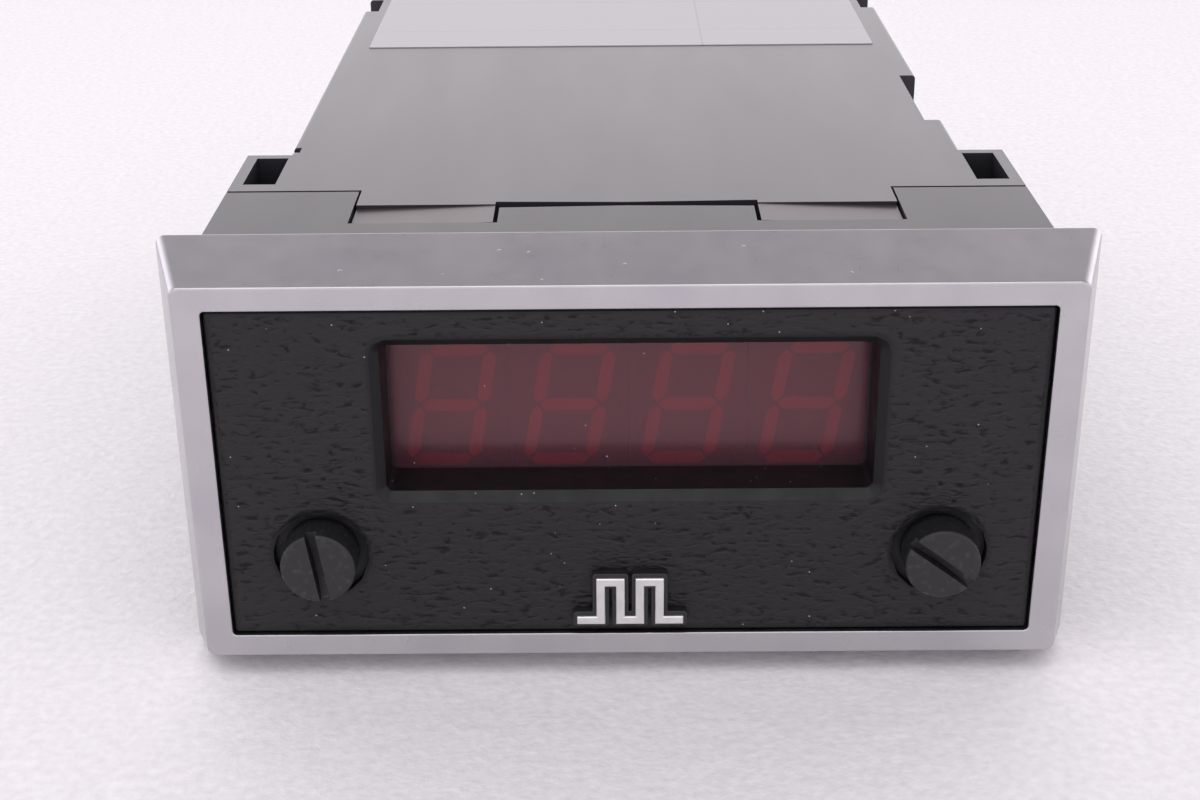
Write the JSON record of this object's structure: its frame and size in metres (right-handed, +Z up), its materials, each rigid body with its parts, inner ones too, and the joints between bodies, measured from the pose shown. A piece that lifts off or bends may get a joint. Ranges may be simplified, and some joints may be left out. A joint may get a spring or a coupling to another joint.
{
  "type": "frequency counter",
  "caption": "Panel-mounted frequency counter: metal bezel, black front panel with a recessed red digit display, long plastic case with rear screw terminals.",
  "frame": {"origin": "under the middle of the whole object, on the level of the bezel's lowest edge", "axes": "+X to the right seen from the front, +Y from the display towards the rear terminals, +Z up"},
  "size_m": [0.098, 0.1476, 0.0486],
  "materials": {
    "bezel_metal": "satin plated die casting",
    "grained_plastic": "black, fine leather grain",
    "red_filter": "dark red transparent acrylic",
    "black_plastic": "smooth black moulding",
    "badge_silver": "satin silver foil",
    "screw_black": "black nylon, satin",
    "spring_steel": "plain spring steel",
    "case_plastic": "smooth black moulding, satin",
    "brass": "turned brass",
    "label_foil": "blank silver-grey foil",
    "terminal_green": "green moulding",
    "zinc_steel": "bright zinc plate",
    "circuit_board": "green solder mask",
    "chip_plastic": "moulded epoxy",
    "switch_blue": "blue moulding",
    "nylon_white": "white nylon",
    "can_metal": "tinned can",
    "lamination_steel": "varnished laminations",
    "winding_tape": "yellow tape over copper",
    "capacitor_sleeve": "dark blue sleeve",
    "black_anodised": "black anodised",
    "fuse_glass": "glass tube with bright caps",
    "resistor_body": "lacquered",
    "ceramic_body": "orange dipped",
    "digit_grey": "dark grey face",
    "segment_red": "unlit red light pipe"
  },
  "bodies": {
    "case": {"bezel_frame": "bezel_metal", "board_connector": "black_plastic", "bridge_rectifier": "chip_plastic", "ceramic_capacitors": "ceramic_body", "counter_circuit": "chip_plastic", "counter_socket": "black_plastic", "crystal": "can_metal", "digit_1": "digit_grey", "digit_1_segments": "segment_red", "digit_2": "digit_grey", "digit_2_segments": "segment_red", "digit_3": "digit_grey", "digit_3_segments": "segment_red", "digit_4": "digit_grey", "digit_4_segments": "segment_red", "dip_switch_body": "switch_blue", "display_board": "circuit_board", "display_screws": "zinc_steel", "driver_circuits": "chip_plastic", "filter_capacitor_large": "capacitor_sleeve", "filter_capacitor_small": "capacitor_sleeve", "front_housing": "case_plastic", "fuse": "fuse_glass", "fuse_clips": "spring_steel", "heat_sink": "black_anodised", "logic_circuits": "chip_plastic", "main_board": "circuit_board", "processor_circuit": "chip_plastic", "rating_label": "label_foil", "rear_case": "case_plastic", "rear_cover": "case_plastic", "regulator": "chip_plastic", "regulator_nut": "zinc_steel", "regulator_screw": "zinc_steel", "resistors": "resistor_body", "terminal_block_power": "terminal_green", "terminal_block_signal": "terminal_green", "terminal_screws": "zinc_steel", "threaded_inserts": "brass", "transformer_base": "black_plastic", "transformer_core": "lamination_steel", "transformer_winding": "winding_tape", "trimmer_body": "switch_blue"},
    "front_panel": {"front_panel": "grained_plastic", "display_window": "red_filter", "badge_base": "black_plastic", "badge_mark": "badge_silver"},
    "clip_left": {"retaining_clip_left": "spring_steel"},
    "clip_right": {"retaining_clip_right": "spring_steel"},
    "screw_left": {"panel_screw_left": "screw_black"},
    "screw_right": {"panel_screw_right": "screw_black"},
    "brightness_rotor": {"trimmer_rotor": "nylon_white"},
    "slider_1": {"dip_slider_1": "nylon_white"},
    "slider_2": {"dip_slider_2": "nylon_white"},
    "slider_3": {"dip_slider_3": "nylon_white"},
    "slider_4": {"dip_slider_4": "nylon_white"},
    "slider_5": {"dip_slider_5": "nylon_white"},
    "slider_6": {"dip_slider_6": "nylon_white"},
    "slider_7": {"dip_slider_7": "nylon_white"},
    "slider_8": {"dip_slider_8": "nylon_white"}
  },
  "joints": [
    {"name": "front_panel_pull", "type": "slide", "parent": "case", "child": "front_panel", "axis": [0, -1, 0], "range_m": [0, 0.03]},
    {"name": "screw_advance_left", "type": "slide", "parent": "front_panel", "child": "clip_left", "axis": [0, -1, 0], "range_m": [0, 0.0028]},
    {"name": "screw_turn_left", "type": "hinge", "parent": "clip_left", "child": "screw_left", "pos_m": [-0.033, -0.0712, 0.015], "axis": [0, -1, 0], "range_deg": [0, 1440]},
    {"name": "screw_advance_right", "type": "slide", "parent": "front_panel", "child": "clip_right", "axis": [0, -1, 0], "range_m": [0, 0.0028]},
    {"name": "screw_turn_right", "type": "hinge", "parent": "clip_right", "child": "screw_right", "pos_m": [0.033, -0.0712, 0.015], "axis": [0, -1, 0], "range_deg": [0, 1440]},
    {"name": "brightness_turn", "type": "hinge", "parent": "case", "child": "brightness_rotor", "pos_m": [0.014, -0.06, 0.0147], "axis": [0, -1, 0], "range_deg": [-135, 135]},
    {"name": "switch_1", "type": "slide", "parent": "case", "child": "slider_1", "axis": [0, 0, 1], "range_m": [0, 0.0012]},
    {"name": "switch_2", "type": "slide", "parent": "case", "child": "slider_2", "axis": [0, 0, 1], "range_m": [0, 0.0012]},
    {"name": "switch_3", "type": "slide", "parent": "case", "child": "slider_3", "axis": [0, 0, 1], "range_m": [0, 0.0012]},
    {"name": "switch_4", "type": "slide", "parent": "case", "child": "slider_4", "axis": [0, 0, 1], "range_m": [0, 0.0012]},
    {"name": "switch_5", "type": "slide", "parent": "case", "child": "slider_5", "axis": [0, 0, 1], "range_m": [0, 0.0012]},
    {"name": "switch_6", "type": "slide", "parent": "case", "child": "slider_6", "axis": [0, 0, 1], "range_m": [0, 0.0012]},
    {"name": "switch_7", "type": "slide", "parent": "case", "child": "slider_7", "axis": [0, 0, 1], "range_m": [0, 0.0012]},
    {"name": "switch_8", "type": "slide", "parent": "case", "child": "slider_8", "axis": [0, 0, 1], "range_m": [0, 0.0012]}
  ],
  "couplings": [
    {"joint": "screw_turn_left", "follows": "screw_advance_left", "rad_per_m": 8976},
    {"joint": "screw_turn_right", "follows": "screw_advance_right", "rad_per_m": 8976}
  ]
}
